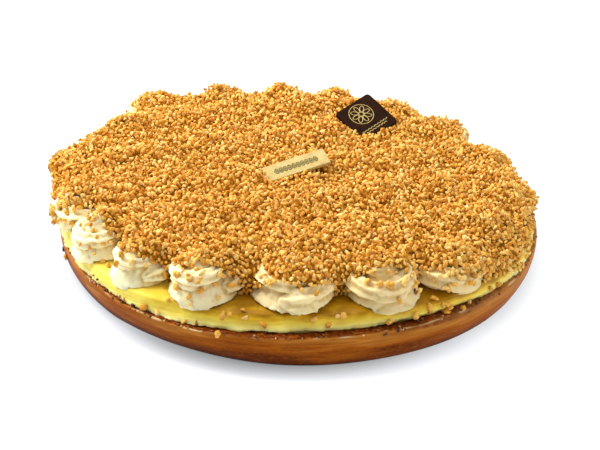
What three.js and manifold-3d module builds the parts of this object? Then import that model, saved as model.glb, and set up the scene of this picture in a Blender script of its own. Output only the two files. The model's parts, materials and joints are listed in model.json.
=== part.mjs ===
import * as THREE from "three";
import { mergeVertices } from "three/addons/utils/BufferGeometryUtils.js";
import Module from "manifold-3d";

// A Belgian cream tart, 280 mm across: a baked pastry case filled with yellow pastry cream,
// a ring of piped whipped cream rosettes on it, and caramelised nuts heaped over the middle
// and over all but the outer flanks of the rosettes. A white and a dark chocolate plaque lie
// in the nuts. Millimetres, +Z up, the front is -Y. The origin is under the middle of the
// tart, on the surface that it rests on.

const wasm = await Module();
wasm.setup();

const DEGREE = Math.PI / 180;
const GAP = 0.3;
const SIDES = 60;

// The pastry case. Its rim and all the outlines on it wander as hand work does: a mean radius
// plus ripples, each with its swing in mm, its number of lobes and the azimuth of a crest.
const CASE = {
  height: 19, bulge: 1.6, wall: 9, floor: 5, lip: 1.4, crown: 0.5, lipDrop: 1.4, lipRound: 0.2,
  footRound: 2, rises: [0.2, 0.45, 0.7, 0.92],
};
const caseRim = wave(139.7, [[0.5, 1, -55], [1, 2, 74], [1.3, 3, -4], [0.6, 4, -40], [0.9, 5, 33]]);
const caseFoot = wave(135, [[1, 1, 35], [0.3, 3, -90], [0.4, 8, -92]]);

// The pastry cream fills the case, spreads over its lip and slopes up to the plateau that the
// rosettes stand on.
const CREAM = {
  top: 27.8, foot: 2.2, ledge: 18, minSlope: 2.6, brow: 0.8, inset: 1.5, round: 0.6, shoulder: 3,
  clear: 0.5,
};
const creamEdge = wave(136, [[1.2, 1, -132], [1.6, 2, 12], [1.6, 3, -14], [1.6, 4, -37], [0.5, 5, 27]]);

// The rosettes stand in a ring that is a little longer from left to right than from front to
// back. Each is a rope of cream, piped clockwise in a rising spiral. steps are the angles from
// one rosette to the next, anticlockwise from the front one: the hand set them unevenly. Those
// that the nuts bury at the right are narrower by buried. ROOM is the dome that the nuts leave
// free for each.
const ROSETTE = {
  first: -90,
  steps: [23.5, 19.5, 20, 21.5, 21.5, 22, 20, 20.5, 18, 20.5, 19.5, 19.5, 18, 21.5, 17, 16, 18.3],
  widest: 21.5, height: 20, backDrop: 1.2, vary: 0.8, foot: 0.93, fold: 1.1,
  turns: 2.9, rowsPerTurn: 3, columns: 12, flare: 1.9, waist: 0.75, tuckTo: 0.15,
  buried: 6, buriedSpan: [0.84, 0.866],
};
const ROOM = { clear: 0.7, bulge: 1, sunk: 1, rises: [0.1, 0.32, 0.55, 0.75, 0.9] };
const ringWave = wave(115.9, [[3.1, 1, -142], [5.2, 2, -7], [1, 3, -39], [1.8, 4, -36]]);
const RING_DENTS = [
  { out: 8, at: 139, spread: 7 }, { out: -12, at: 151, spread: 7 }, { out: -3.5, at: 52, spread: 14 },
  { out: 3.5, at: -135, spread: 24 }, { out: 3, at: -168, spread: 9 },
];

// The nuts: the height of the heap inside the ring, the depth that lies over a rosette's tip,
// the height to which they slide between two rosettes, and how much further they hang over the
// rosettes round the azimuths LEFT and RIGHT, over spans given as cosines. The heap leans: it is
// highest at the back on the left, and lowest at the back on the right. nutReach is how far the
// nuts come out past the ring's line over a rosette; between two rosettes they stay back by the
// scallop. The fall to the gullies starts fallFrom inside the ring's line and would end fallTo
// outside the edge. The lower edge is skirtLow over the cream in the gullies. At the left it
// rises to skirtHigh as the nuts hang out from skirtFrom to skirtTo, and at the right it comes
// down to skirtRight. In one gully at the front the nuts have slid further down. In one place
// at the right they hang out less, and at the front left they leave the rosettes' flanks bare.
// Low swells, each with a wave length across and along, run over the heap.
const NUTS = {
  level: 46.5, cover: 2.8, gully: 36.5, gullyBack: 3, scallop: 7, hangLeft: 11, hangRight: 10.5,
  fallFrom: 8, fallTo: 4, sole: 1, skirtLow: 5.5, skirtHigh: 12, skirtRight: 1, skirtFrom: 11, skirtTo: 16,
  leftSpan: [0.891, 0.956], rightSpan: [0.8, 0.94], lean: 4, spacing: 5.15, relief: 1.4,
  ragged: 1.6, swell: 1.1, scatter: 0.25,
};
const LEFT = 170;
const RIGHT = -14;
const SWELLS = [{ x: 6.1, y: 15 }, { x: -19, y: 6.7 }];
const nutReach = wave(9.2, [[3.2, 8, -90]]);
const NUT_SLIDE = { down: 5, at: -101, spread: 9 };
const NUT_TUCKS = [{ back: 5, at: -6, spread: 6 }, { back: 8, at: -143, spread: 14 }];

// The plaques: the middle of the upper face, the turn about Z and then the tilt about the
// plaque's own long and short side, in degrees. The nuts are pressed down under a plaque, and
// press is how far beyond its edges, or short of them where the nuts fall back over it. They
// also lie over it where its bed would be deeper than covered, and hold it up to within propped
// of its edges.
const WHITE_PLAQUE = {
  length: 38, width: 14, thickness: 2, corner: 1, place: [-1.7, -4.5, 49.7], turn: 20.3,
  tilt: [9, -12.6], press: 2, sunk: 0.4, covered: 6, propped: 5,
};
const DARK_PLAQUE = {
  length: 27.4, width: 28, thickness: 2.4, corner: 2.2, place: [40.5, 61.2, 50.5], turn: 45,
  tilt: [20.6, -16.3], press: -1.5, sunk: 0.4, covered: 1.9, propped: 5,
};

const COLOUR = {
  pastry: "#8a4a14", cream: "#f2d564", whipped: "#f6ecc9", nut: "#d89a45", white: "#ece0a6",
  dark: "#2b1710",
};

function wave(mean, ripples) {
  return (azimuth) => ripples.reduce(
    (sum, [swing, lobes, crest]) => sum + swing * Math.cos(lobes * (azimuth - crest * DEGREE)),
    mean,
  );
}

// A seeded draw between -1 and 1, so that every build gives the same tart.
function draws(seed) {
  let state = seed;
  return () => {
    state = (state * 1664525 + 1013904223) % 4294967296;
    return state / 2147483648 - 1;
  };
}

function smooth(from, to, value) {
  return THREE.MathUtils.smoothstep(value, from, to);
}

function fromTriangles(points, faces) {
  const geometry = new THREE.BufferGeometry();
  geometry.setAttribute("position", new THREE.Float32BufferAttribute(points.flat(), 3));
  geometry.setIndex(faces.flat());
  return geometry;
}

function toSolid(geometry) {
  const bare = geometry.clone();
  bare.deleteAttribute("normal");
  bare.deleteAttribute("uv");
  const merged = mergeVertices(bare, 1e-4);
  return new wasm.Manifold(new wasm.Mesh({
    numProp: 3,
    vertProperties: new Float32Array(merged.attributes.position.array),
    triVerts: new Uint32Array(merged.index.array),
  }));
}

function toGeometry(solid) {
  const mesh = solid.getMesh();
  const geometry = new THREE.BufferGeometry();
  geometry.setAttribute("position", new THREE.BufferAttribute(mesh.vertProperties, 3));
  geometry.setIndex(new THREE.BufferAttribute(mesh.triVerts, 1));
  return geometry;
}

function piece(name, geometry, colour, roughness) {
  const material = new THREE.MeshStandardMaterial({ color: colour, roughness, metalness: 0 });
  const mesh = new THREE.Mesh(geometry, material);
  mesh.name = name;
  return mesh;
}

// A closed skin round the Z axis. profile(azimuth) gives [radius, height] pairs from the
// bottom pole to the top pole, and only the two poles lie on the axis.
function roundSkin(profile, sides) {
  const rings = profile(0).length - 2;
  const points = [];
  for (let side = 0; side < sides; side += 1) {
    const azimuth = 2 * Math.PI * side / sides;
    const ring = profile(azimuth).slice(1, -1);
    points.push(...ring.map(([r, z]) => [r * Math.cos(azimuth), r * Math.sin(azimuth), z]));
  }
  const bottom = points.push([0, 0, profile(0)[0][1]]) - 1;
  const top = points.push([0, 0, profile(0).at(-1)[1]]) - 1;
  const faces = [];
  for (let side = 0; side < sides; side += 1) {
    const here = side * rings;
    const next = ((side + 1) % sides) * rings;
    faces.push([bottom, next, here], [top, here + rings - 1, next + rings - 1]);
    for (let ring = 0; ring < rings - 1; ring += 1) {
      faces.push([here + ring, next + ring, next + ring + 1]);
      faces.push([here + ring, next + ring + 1, here + ring + 1]);
    }
  }
  return fromTriangles(points, faces);
}

function pastryCase() {
  const profile = (azimuth) => {
    const rim = caseRim(azimuth);
    const foot = caseFoot(azimuth);
    const wall = CASE.rises.map((rise) => [
      foot + (rim - foot) * rise + CASE.bulge * Math.sin(Math.PI * rise), CASE.height * rise,
    ]);
    return [
      [0, 0],
      [foot - CASE.footRound, 0],
      [foot - 0.1 * CASE.footRound, 0.25 * CASE.footRound],
      ...wall,
      [rim - CASE.lipRound, CASE.height],
      [rim - CASE.lip, CASE.height + CASE.crown],
      [rim - CASE.wall, CASE.height + CASE.crown - CASE.lipDrop],
      [foot - CASE.wall, CASE.floor],
      [0, CASE.floor],
    ];
  };
  return roundSkin(profile, SIDES);
}

// The lip falls evenly from the ridge of the rim to the inner wall.
function lipHeight(azimuth, radius) {
  const inward = (caseRim(azimuth) - CASE.lip - radius) / (CASE.wall - CASE.lip);
  return CASE.height + CASE.crown - CASE.lipDrop * inward;
}

function creamFilling() {
  const knead = wave(0, [[0.5, 9, 20], [0.4, 14, 70]]);
  const profile = (azimuth) => {
    const rim = caseRim(azimuth);
    const edge = Math.min(creamEdge(azimuth), rim - CREAM.inset);
    const plateau = Math.min(ringRadius(azimuth) + CREAM.ledge, edge - CREAM.minSlope);
    const edgeHeight = lipHeight(azimuth, edge) + GAP;
    const brow = edge - CREAM.brow;
    const browHeight = edgeHeight + CREAM.round * CREAM.foot;
    const along = (share) => brow + (plateau - brow) * share;
    const up = (share) => browHeight + (CREAM.top - edgeHeight - CREAM.foot) * share;
    return [
      [0, CASE.floor + GAP],
      [caseFoot(azimuth) - CASE.wall - CREAM.clear, CASE.floor + GAP],
      [rim - CASE.wall - CREAM.clear, lipHeight(azimuth, rim - CASE.wall) + GAP],
      [edge, edgeHeight],
      [brow, browHeight],
      [along(0.5) + 0.4 * knead(azimuth), up(0.5) + knead(azimuth)],
      [along(1), CREAM.top - CREAM.round],
      [plateau - CREAM.shoulder, CREAM.top],
      [0, CREAM.top],
    ];
  };
  return roundSkin(profile, SIDES);
}

// 1 round a middle azimuth, falling to 0 over a span of cosines.
function round(middle, span, azimuth) {
  return smooth(...span, Math.cos(azimuth - middle * DEGREE));
}

// 1 at a given azimuth, falling to 0 over a spread to both sides.
function near(azimuth, { at, spread }) {
  const away = azimuth - at * DEGREE;
  return Math.exp(-((Math.atan2(Math.sin(away), Math.cos(away)) / (spread * DEGREE)) ** 2));
}

// The line of the ring: its wave, and the dents where single rosettes stand out or back.
function ringRadius(azimuth) {
  return RING_DENTS.reduce(
    (radius, dent) => radius + dent.out * near(azimuth, dent), ringWave(azimuth),
  );
}

function ringPlaces() {
  const azimuths = [ROSETTE.first * DEGREE];
  ROSETTE.steps.forEach((step) => azimuths.push(azimuths.at(-1) + step * DEGREE));
  return azimuths.map((azimuth) => new THREE.Vector2(
    ringRadius(azimuth) * Math.cos(azimuth), ringRadius(azimuth) * Math.sin(azimuth),
  ));
}

function heapLean(x, y) {
  return -NUTS.lean * (x / 100) * smooth(-110, 90, y);
}

function heapSwell(x, y) {
  return SWELLS.reduce((sum, wave) => sum + NUTS.swell * Math.cos(x / wave.x + y / wave.y), 0);
}

// The share of a rosette's full radius at a share of its height, rounding over to its tip.
function rosetteShare(rise) {
  const tuck = 1 - (1 - ROSETTE.foot) * Math.max(0, 1 - rise / ROSETTE.tuckTo) ** 2;
  return tuck * (1 - Math.min(1, Math.max(0, rise)) ** ROSETTE.flare) ** ROSETTE.waist;
}

// The share of a rosette's height over a spot at this share of its radius from its axis.
function rosetteRise(share) {
  return (1 - Math.min(1, share) ** (1 / ROSETTE.waist)) ** (1 / ROSETTE.flare);
}

function rosettes() {
  const draw = draws(7);
  const places = ringPlaces();
  const steps = places.map((place, index) => place.distanceTo(places[(index + 1) % places.length]));
  const widest = ({ x, y }) => (
    ROSETTE.widest - ROSETTE.buried * round(RIGHT, ROSETTE.buriedSpan, Math.atan2(y, x))
  );
  return places.map((place, index) => ({
    place,
    radius: Math.min(widest(place), (Math.min(steps[index], steps.at(index - 1)) - GAP) / 2),
    height: ROSETTE.height + heapLean(place.x, place.y) + ROSETTE.vary * draw()
      - ROSETTE.backDrop * smooth(0, 110, place.y),
    start: Math.PI * draw(),
  }));
}

// One rope round and up. A row is a line along the rope, a groove every rowsPerTurn rows. A
// column's last neighbour is the first column one turn higher, and the rows that would lie
// under the foot shrink to one point, which tapers the start of the rope.
function rosetteSolid({ radius, height, start }) {
  const { columns, rowsPerTurn, turns, fold } = ROSETTE;
  const total = Math.round(turns * rowsPerTurn);
  const points = [];
  const faces = [];
  const vertex = (column, row) => {
    if (column === columns) return vertex(0, row + rowsPerTurn);
    const climb = (row + rowsPerTurn * column / columns) / (total + 1);
    const azimuth = start - 2 * Math.PI * column / columns;
    const groove = ((row % rowsPerTurn) + rowsPerTurn) % rowsPerTurn === 0;
    const reach = climb <= 0
      ? radius * ROSETTE.foot - fold
      : (radius - fold) * rosetteShare(climb) + (groove ? -fold : fold);
    return points.push([
      reach * Math.cos(azimuth), reach * Math.sin(azimuth), height * Math.max(0, climb),
    ]) - 1;
  };
  const last = total - rowsPerTurn;
  for (let column = 0; column < columns; column += 1) {
    for (let row = -rowsPerTurn; row < last; row += 1) {
      const low = vertex(column, row);
      const high = vertex(column, row + 1);
      const lowNext = vertex(column + 1, row);
      const highNext = vertex(column + 1, row + 1);
      faces.push([low, high, highNext], [low, highNext, lowNext]);
    }
  }
  const tip = points.push([0, 0, height]) - 1;
  const base = points.push([0, 0, 0]) - 1;
  for (let column = 0; column < columns; column += 1) {
    faces.push([vertex(column, last), tip, vertex(column + 1, last)]);
    faces.push([base, vertex(column, -rowsPerTurn), vertex(column + 1, -rowsPerTurn)]);
  }
  for (let row = last; row < total; row += 1) {
    faces.push([vertex(0, row), vertex(0, row + 1), tip]);
  }
  return toSolid(fromTriangles(points, faces));
}

// A plain dome a little larger than the rosette, which keeps the nuts clear of it.
function rosetteRoom({ place, radius, height }) {
  const profile = () => [
    [0, -ROOM.sunk], [radius * ROSETTE.foot + ROOM.clear, -ROOM.sunk],
    ...ROOM.rises.map((rise) => [
      radius * rosetteShare(rise) + ROOM.bulge + ROOM.clear, height * rise,
    ]),
    [0, height + ROOM.clear],
  ];
  const geometry = roundSkin(profile, ROSETTE.columns);
  geometry.translate(place.x, place.y, CREAM.top + GAP);
  return toSolid(geometry);
}

// The height of the nuts where a plaque lies, which sinks in by part of its thickness, and the
// loose height beside it.
function pressedTo(plaque, x, y, loose) {
  const { place, length, width, thickness, press, sunk, covered, propped } = plaque;
  const normal = new THREE.Vector3(0, 0, 1).applyMatrix4(plaqueTurn(plaque));
  const offset = new THREE.Vector3(x - place[0], y - place[1], 0);
  offset.z = -(normal.x * offset.x + normal.y * offset.y) / normal.z;
  const height = place[2] + offset.z - (1 - sunk) * thickness;
  const own = offset.applyMatrix4(plaqueTurn(plaque).invert());
  const within = (margin) => Math.abs(own.x) < length / 2 + margin && Math.abs(own.y) < width / 2 + margin;
  if (within(-propped)) return height;
  return within(press) && loose - height < covered ? Math.min(loose, height) : loose;
}

function nutHeap(ring) {
  const draw = draws(23);
  const outline = (azimuth) => {
    const line = ringRadius(azimuth);
    const spot = new THREE.Vector2(line * Math.cos(azimuth), line * Math.sin(azimuth));
    const beside = ring.reduce(
      (least, { place, radius }) => Math.min(least, spot.distanceTo(place) / radius), 1,
    );
    const back = NUT_TUCKS.reduce((sum, tuck) => sum + tuck.back * near(azimuth, tuck), 0);
    return line + nutReach(azimuth) - back - NUTS.scallop * smooth(0.4, 1, beside)
      + NUTS.hangLeft * round(LEFT, NUTS.leftSpan, azimuth)
      + NUTS.hangRight * round(RIGHT, NUTS.rightSpan, azimuth);
  };
  const dome = (x, y) => ring.reduce((highest, { place, radius, height }) => Math.max(
    highest, CREAM.top + height * rosetteRise(Math.hypot(x - place.x, y - place.y) / radius),
  ), 0);
  const surface = (x, y) => {
    const azimuth = Math.atan2(y, x);
    const radius = Math.hypot(x, y);
    const level = NUTS.level + heapLean(x, y);
    const fall = smooth(ringRadius(azimuth) - NUTS.fallFrom, outline(azimuth) + NUTS.fallTo, radius);
    const gully = NUTS.gully + NUTS.gullyBack * smooth(0, 90, y) - NUT_SLIDE.down * near(azimuth, NUT_SLIDE);
    const fill = level + heapSwell(x, y) * (1 - fall) + (gully - level) * fall;
    return Math.max(fill, dome(x, y) + NUTS.cover);
  };

  const points = [];
  const rings = [];
  const count = Math.round(outline(Math.PI / 4) / NUTS.spacing);
  for (let index = 1; index <= count; index += 1) {
    const edge = index === count;
    const length = 2 * Math.PI * outline(Math.PI / 4) * index / count;
    const sides = Math.round(length / NUTS.spacing);
    const ragged = edge ? NUTS.ragged : NUTS.scatter * NUTS.spacing;
    rings.push(Array.from({ length: sides }, (_, side) => {
      const azimuth = 2 * Math.PI * (side + index / 2 % 1 + NUTS.scatter * draw()) / sides;
      const radius = outline(azimuth) * index / count + ragged * draw();
      const x = radius * Math.cos(azimuth);
      const y = radius * Math.sin(azimuth);
      const loose = surface(x, y) + NUTS.relief * draw();
      const height = [WHITE_PLAQUE, DARK_PLAQUE].reduce((now, plaque) => pressedTo(plaque, x, y, now), loose);
      return { azimuth, point: points.push([x, y, height]) - 1 };
    }));
  }
  const faces = [];
  const top = points.push([0, 0, pressedTo(WHITE_PLAQUE, 0, 0, surface(0, 0))]) - 1;
  const rim = rings.at(-1).map(({ point }) => point);
  const floor = CREAM.top + GAP;
  const skirt = rings.at(-1).map(({ azimuth, point }) => {
    const [x, y] = points[point];
    const beyond = Math.hypot(x, y) - ringRadius(azimuth);
    const hung = smooth(NUTS.skirtFrom, NUTS.skirtTo, beyond);
    const most = x < 0 ? NUTS.skirtHigh : NUTS.skirtRight;
    const slid = (NUTS.skirtLow - NUTS.skirtRight) * near(azimuth, NUT_SLIDE);
    const lift = NUTS.skirtLow + (most - NUTS.skirtLow) * hung - slid;
    return { azimuth, point: points.push([x, y, floor + lift]) - 1 };
  });
  const sole = Array.from({ length: SIDES }, (_, side) => {
    const azimuth = 2 * Math.PI * side / SIDES;
    const radius = ringRadius(azimuth) + NUTS.sole;
    const point = points.push([radius * Math.cos(azimuth), radius * Math.sin(azimuth), floor]) - 1;
    return { azimuth, point };
  });
  const base = points.push([0, 0, floor]) - 1;
  rings[0].forEach(({ point }, side) => {
    faces.push([top, point, rings[0][(side + 1) % rings[0].length].point]);
  });
  rings.slice(1).forEach((outer, index) => {
    faces.push(...zip(rings[index], outer));
  });
  rim.forEach((point, side) => {
    const next = (side + 1) % rim.length;
    faces.push([point, skirt[side].point, skirt[next].point], [point, skirt[next].point, rim[next]]);
  });
  faces.push(...zip(sole, skirt).map(([a, b, c]) => [a, c, b]));
  sole.forEach(({ point }, side) => {
    faces.push([base, sole[(side + 1) % SIDES].point, point]);
  });
  return toSolid(fromTriangles(points, faces));
}

// Triangles between an inner and an outer ring of points, each in order of azimuth: the ring
// whose next point comes first takes the next step.
function zip(inner, outer) {
  const faces = [];
  const reach = (ring, step) => (
    ring[step % ring.length].azimuth + 2 * Math.PI * Math.floor(step / ring.length)
  );
  const at = (ring, step) => ring[step % ring.length].point;
  let a = 0;
  let b = 0;
  while (a < inner.length || b < outer.length) {
    const stepInner = b === outer.length
      || (a < inner.length && reach(inner, a + 1) < reach(outer, b + 1));
    if (stepInner) {
      faces.push([at(inner, a), at(outer, b), at(inner, a + 1)]);
      a += 1;
    } else {
      faces.push([at(inner, a), at(outer, b), at(outer, b + 1)]);
      b += 1;
    }
  }
  return faces;
}

// A flat tablet with round corners, centred, grown by a margin on every side.
function tablet({ length, width, thickness, corner }, margin = 0) {
  const x = length / 2 + margin;
  const y = width / 2 + margin;
  const outline = new THREE.Shape();
  outline.moveTo(corner - x, -y);
  outline.lineTo(x - corner, -y);
  outline.absarc(x - corner, corner - y, corner, -Math.PI / 2, 0);
  outline.lineTo(x, y - corner);
  outline.absarc(x - corner, y - corner, corner, 0, Math.PI / 2);
  outline.lineTo(corner - x, y);
  outline.absarc(corner - x, y - corner, corner, Math.PI / 2, Math.PI);
  outline.lineTo(-x, corner - y);
  outline.absarc(corner - x, corner - y, corner, Math.PI, 1.5 * Math.PI);
  const geometry = new THREE.ExtrudeGeometry(outline, {
    depth: thickness + 2 * margin, bevelEnabled: false, curveSegments: 3,
  });
  geometry.translate(0, 0, -thickness - margin);
  return geometry;
}

function plaqueTurn({ turn, tilt }) {
  const turned = new THREE.Euler(tilt[0] * DEGREE, tilt[1] * DEGREE, turn * DEGREE, "ZXY");
  return new THREE.Matrix4().makeRotationFromEuler(turned);
}

function layPlaque(geometry, plaque) {
  geometry.applyMatrix4(plaqueTurn(plaque));
  geometry.translate(...plaque.place);
  return geometry;
}

function largest(solid) {
  return solid.decompose().reduce((best, part) => (part.volume() > best.volume() ? part : best));
}

const tart = new THREE.Group();
const ring = rosettes();

tart.add(piece("crust", pastryCase(), COLOUR.pastry, 0.6));
tart.add(piece("pastry_cream", creamFilling(), COLOUR.cream, 0.35));

ring.forEach((rosette, index) => {
  const name = `cream_rosette_${String(index + 1).padStart(2, "0")}`;
  const mesh = piece(name, toGeometry(rosetteSolid(rosette)), COLOUR.whipped, 0.45);
  mesh.position.set(rosette.place.x, rosette.place.y, CREAM.top + GAP);
  tart.add(mesh);
});

let nuts = nutHeap(ring);
ring.forEach((rosette) => {
  nuts = nuts.subtract(rosetteRoom(rosette));
});
[WHITE_PLAQUE, DARK_PLAQUE].forEach((plaque) => {
  nuts = nuts.subtract(toSolid(layPlaque(tablet(plaque, GAP), plaque)));
});
tart.add(piece("nut_layer", toGeometry(largest(nuts)), COLOUR.nut, 0.5));

const whitePlaque = layPlaque(tablet(WHITE_PLAQUE), WHITE_PLAQUE);
tart.add(piece("white_chocolate_plaque", whitePlaque, COLOUR.white, 0.4));
const darkPlaque = layPlaque(tablet(DARK_PLAQUE), DARK_PLAQUE);
tart.add(piece("dark_chocolate_plaque", darkPlaque, COLOUR.dark, 0.3));

// The middle of the whole tart's box goes over the origin.
const middle = new THREE.Box3().setFromObject(tart, true).getCenter(new THREE.Vector3());
tart.position.set(-middle.x, -middle.y, 0);

export default tart;
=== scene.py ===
# %% [markdown]
# # A cream tart with piped rosettes and caramelised nuts
# The tart is 28 cm across. From the floor up it is a baked pastry case, a filling of yellow
# pastry cream, a ring of piped whipped cream, a heap of chopped caramelised nuts and two
# chocolate plaques. The measured model is loaded first and never changed: it says where
# everything is. Each step below dresses one of its pieces.

# %% Load the measured model
import json
import math

import bmesh
import bpy
import numpy as np
from mathutils import Euler, Matrix, Vector, noise
from mathutils.bvhtree import BVHTree

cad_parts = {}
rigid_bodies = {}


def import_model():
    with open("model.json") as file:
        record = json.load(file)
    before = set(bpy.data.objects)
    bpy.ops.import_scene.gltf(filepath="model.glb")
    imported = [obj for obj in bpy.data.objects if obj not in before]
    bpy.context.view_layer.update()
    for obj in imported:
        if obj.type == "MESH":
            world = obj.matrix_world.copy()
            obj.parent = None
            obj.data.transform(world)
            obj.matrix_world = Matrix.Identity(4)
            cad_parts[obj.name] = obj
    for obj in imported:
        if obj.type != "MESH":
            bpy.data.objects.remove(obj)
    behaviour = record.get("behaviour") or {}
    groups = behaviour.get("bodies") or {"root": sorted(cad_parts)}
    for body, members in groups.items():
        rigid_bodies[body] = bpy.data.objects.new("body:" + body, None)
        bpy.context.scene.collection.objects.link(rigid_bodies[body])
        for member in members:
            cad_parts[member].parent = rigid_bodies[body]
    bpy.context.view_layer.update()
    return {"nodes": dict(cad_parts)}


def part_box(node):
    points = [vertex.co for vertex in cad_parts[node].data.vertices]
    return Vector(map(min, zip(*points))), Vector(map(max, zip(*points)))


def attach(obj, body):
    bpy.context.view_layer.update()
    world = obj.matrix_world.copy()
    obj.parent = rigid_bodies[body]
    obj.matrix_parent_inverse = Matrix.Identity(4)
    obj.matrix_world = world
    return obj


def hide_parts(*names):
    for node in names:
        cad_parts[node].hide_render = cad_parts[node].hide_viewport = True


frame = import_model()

# %% [markdown]
# ## Measuring the model
# Sizes are written in millimetres and times MM, because Blender works in metres. A BVH tree
# answers where a ray meets a surface, so a new piece can be laid exactly on an old one. The
# solids have flat facets. A round piece is measured all the way round at one height, and the
# low waves of its Fourier series keep the hand-made wobble and drop the facets.

# %% Trees and outlines
MM = 0.001
AROUND = 720
azimuths = np.linspace(-math.pi, math.pi, AROUND, endpoint=False)
directions = np.stack([np.cos(azimuths), np.sin(azimuths)], axis=1)


def tree_of(*objects):
    """A search tree over the meshes of these objects, which all lie at the origin."""
    points = []
    faces = []
    for item in objects:
        first = len(points)
        points += [vertex.co.copy() for vertex in item.data.vertices]
        faces += [[first + index for index in face.vertices] for face in item.data.polygons]
    return BVHTree.FromPolygons(points, faces)


crust_tree = tree_of(frame["nodes"]["crust"])
filling_tree = tree_of(frame["nodes"]["pastry_cream"])
crust_low, crust_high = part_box("crust")
middle = (crust_low + crust_high) / 2
middle.z = 0
RIM_HEIGHT = crust_high.z


def outline(tree, height, waves=24):
    """The radius of a surface round the middle of the tart at one height, for each azimuth."""
    radii = []
    for x, y in directions:
        outward = Vector((x, y, 0))
        start = middle + 0.3 * outward + Vector((0, 0, height))
        spot = tree.ray_cast(start, -outward)[0]
        radii.append((spot - middle).xy.length)
    spectrum = np.fft.rfft(radii)
    spectrum[waves:] = 0
    return np.fft.irfft(spectrum, AROUND)


rim = outline(crust_tree, RIM_HEIGHT - 1 * MM)
print("rim radius, mm:", round(1000 * rim.min(), 1), "to", round(1000 * rim.max(), 1))

# %% [markdown]
# ## Round skins
# The crust and the filling are both bodies of revolution that a hand has bent. Each is a stack
# of rings, from the pole under it to the pole on top. A list of rough heights and radii is the
# profile. It is filled in evenly, softened, and then pushed in and out along its own normals
# by noise, which gives real relief that is still there in an exported mesh.

# %% Skin tools


def fill_in(knots, steps):
    """Rings between the given ones: knots is (rings, around, 3), steps is rings per gap."""
    rings = [knots[0]]
    for low, high, count in zip(knots, knots[1:], steps):
        rings += [low + (high - low) * (k + 1) / count for k in range(count)]
    return np.array(rings)


def soften(rings, times):
    """Rounds a profile: each ring moves halfway to the middle of its neighbours."""
    for _ in range(times):
        rings[1:-1] = 0.5 * rings[1:-1] + 0.25 * (rings[:-2] + rings[2:])
    return rings


def outward(rings):
    """The unit normal of each point of a stack of rings."""
    along = np.roll(rings, -1, axis=1) - np.roll(rings, 1, axis=1)
    up = np.gradient(rings, axis=0)
    normal = np.cross(along, up)
    return normal / np.maximum(np.linalg.norm(normal, axis=2, keepdims=True), 1e-12)


def ripple(points, size, seed, squash=(1, 1, 1)):
    """Noise from -1 to 1 at each point. size is the width of its bumps in metres."""
    shift = Vector((17.3 * seed, 5.1 * seed, 3.7 * seed))
    scale = Vector(squash) / size
    flat = np.asarray(points).reshape(-1, 3)
    values = [noise.noise(Vector((x * scale.x, y * scale.y, z * scale.z)) + shift) for x, y, z in flat]
    return np.array(values).reshape(np.asarray(points).shape[:-1])


def link_mesh(name, mesh, smooth=True):
    """An object at the origin for a mesh."""
    mesh.polygons.foreach_set("use_smooth", [smooth] * len(mesh.polygons))
    item = bpy.data.objects.new(name, mesh)
    bpy.context.scene.collection.objects.link(item)
    return item


def round_skin(name, rings):
    """A closed mesh from a stack of rings, with a pole under the first and over the last."""
    levels, around, _ = rings.shape
    poles = [rings[0].mean(axis=0), rings[-1].mean(axis=0)]
    points = np.concatenate([rings.reshape(-1, 3), poles])
    side = np.arange(around)
    following = (side + 1) % around
    faces = []
    for level in range(levels - 1):
        low, high = level * around, (level + 1) * around
        faces += np.stack([low + side, low + following, high + following, high + side], 1).tolist()
    bottom, top = levels * around, levels * around + 1
    last = (levels - 1) * around
    faces += [[bottom, b, a] for a, b in zip(side.tolist(), following.tolist())]
    faces += [[top, last + a, last + b] for a, b in zip(side.tolist(), following.tolist())]
    mesh = bpy.data.meshes.new(name)
    mesh.from_pydata(points.tolist(), [], faces)
    return link_mesh(name, mesh)


def ring_at(radii, height):
    """One ring of points at these radii, or one radius, and at this height."""
    radii = np.broadcast_to(radii, AROUND)
    heights = np.broadcast_to(height, AROUND)
    return np.stack([
        middle.x + radii * directions[:, 0], middle.y + radii * directions[:, 1], heights,
    ], axis=1)


def bell(values, centre, spread):
    """1 at the centre, falling off smoothly to both sides."""
    return np.exp(-(((values - centre) / spread) ** 2))


def bell_at(degrees, spread):
    """A bell round one azimuth of the tart, both in degrees: -90 is the front, 0 the right."""
    return bell(azimuths, math.radians(degrees), math.radians(spread))


def store(item, name, values):
    """Keeps one number for each point of a mesh, for a material to read."""
    attribute = item.data.attributes.new(name, "FLOAT", "POINT")
    attribute.data.foreach_set("value", np.asarray(values, np.float32).ravel())


# %% [markdown]
# ## Building materials
# A finish is a small network of nodes. This helper adds one node, sets its values and links
# its inputs, so that a material reads as a short list. Sockets are found by name among those
# that are switched on, because some nodes have several of the same name.

# %% Node helpers


def switched_on(sockets, name):
    """The socket of this name or index, of those that the node uses."""
    if isinstance(name, int):
        return sockets[name]
    return next(socket for socket in sockets if socket.enabled and socket.name == name)


def add(tree, kind, inputs=None, **settings):
    """Adds a node. A value of inputs is a number, a colour, an output of a node or a node."""
    node = tree.nodes.new(kind)
    for name, value in settings.items():
        setattr(node, name, value)
    for name, value in (inputs or {}).items():
        socket = switched_on(node.inputs, name)
        if isinstance(value, bpy.types.Node):
            value = value.outputs[0]
        if isinstance(value, bpy.types.NodeSocket):
            tree.links.new(value, socket)
        else:
            socket.default_value = value
    return node


def paint(code):
    """A colour written as on a screen, #rrggbb, in the linear light that shaders use."""
    shares = [int(code[k:k + 2], 16) / 255 for k in (1, 3, 5)]
    linear = [s / 12.92 if s <= 0.04045 else ((s + 0.055) / 1.055) ** 2.4 for s in shares]
    return (*linear, 1)


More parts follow.
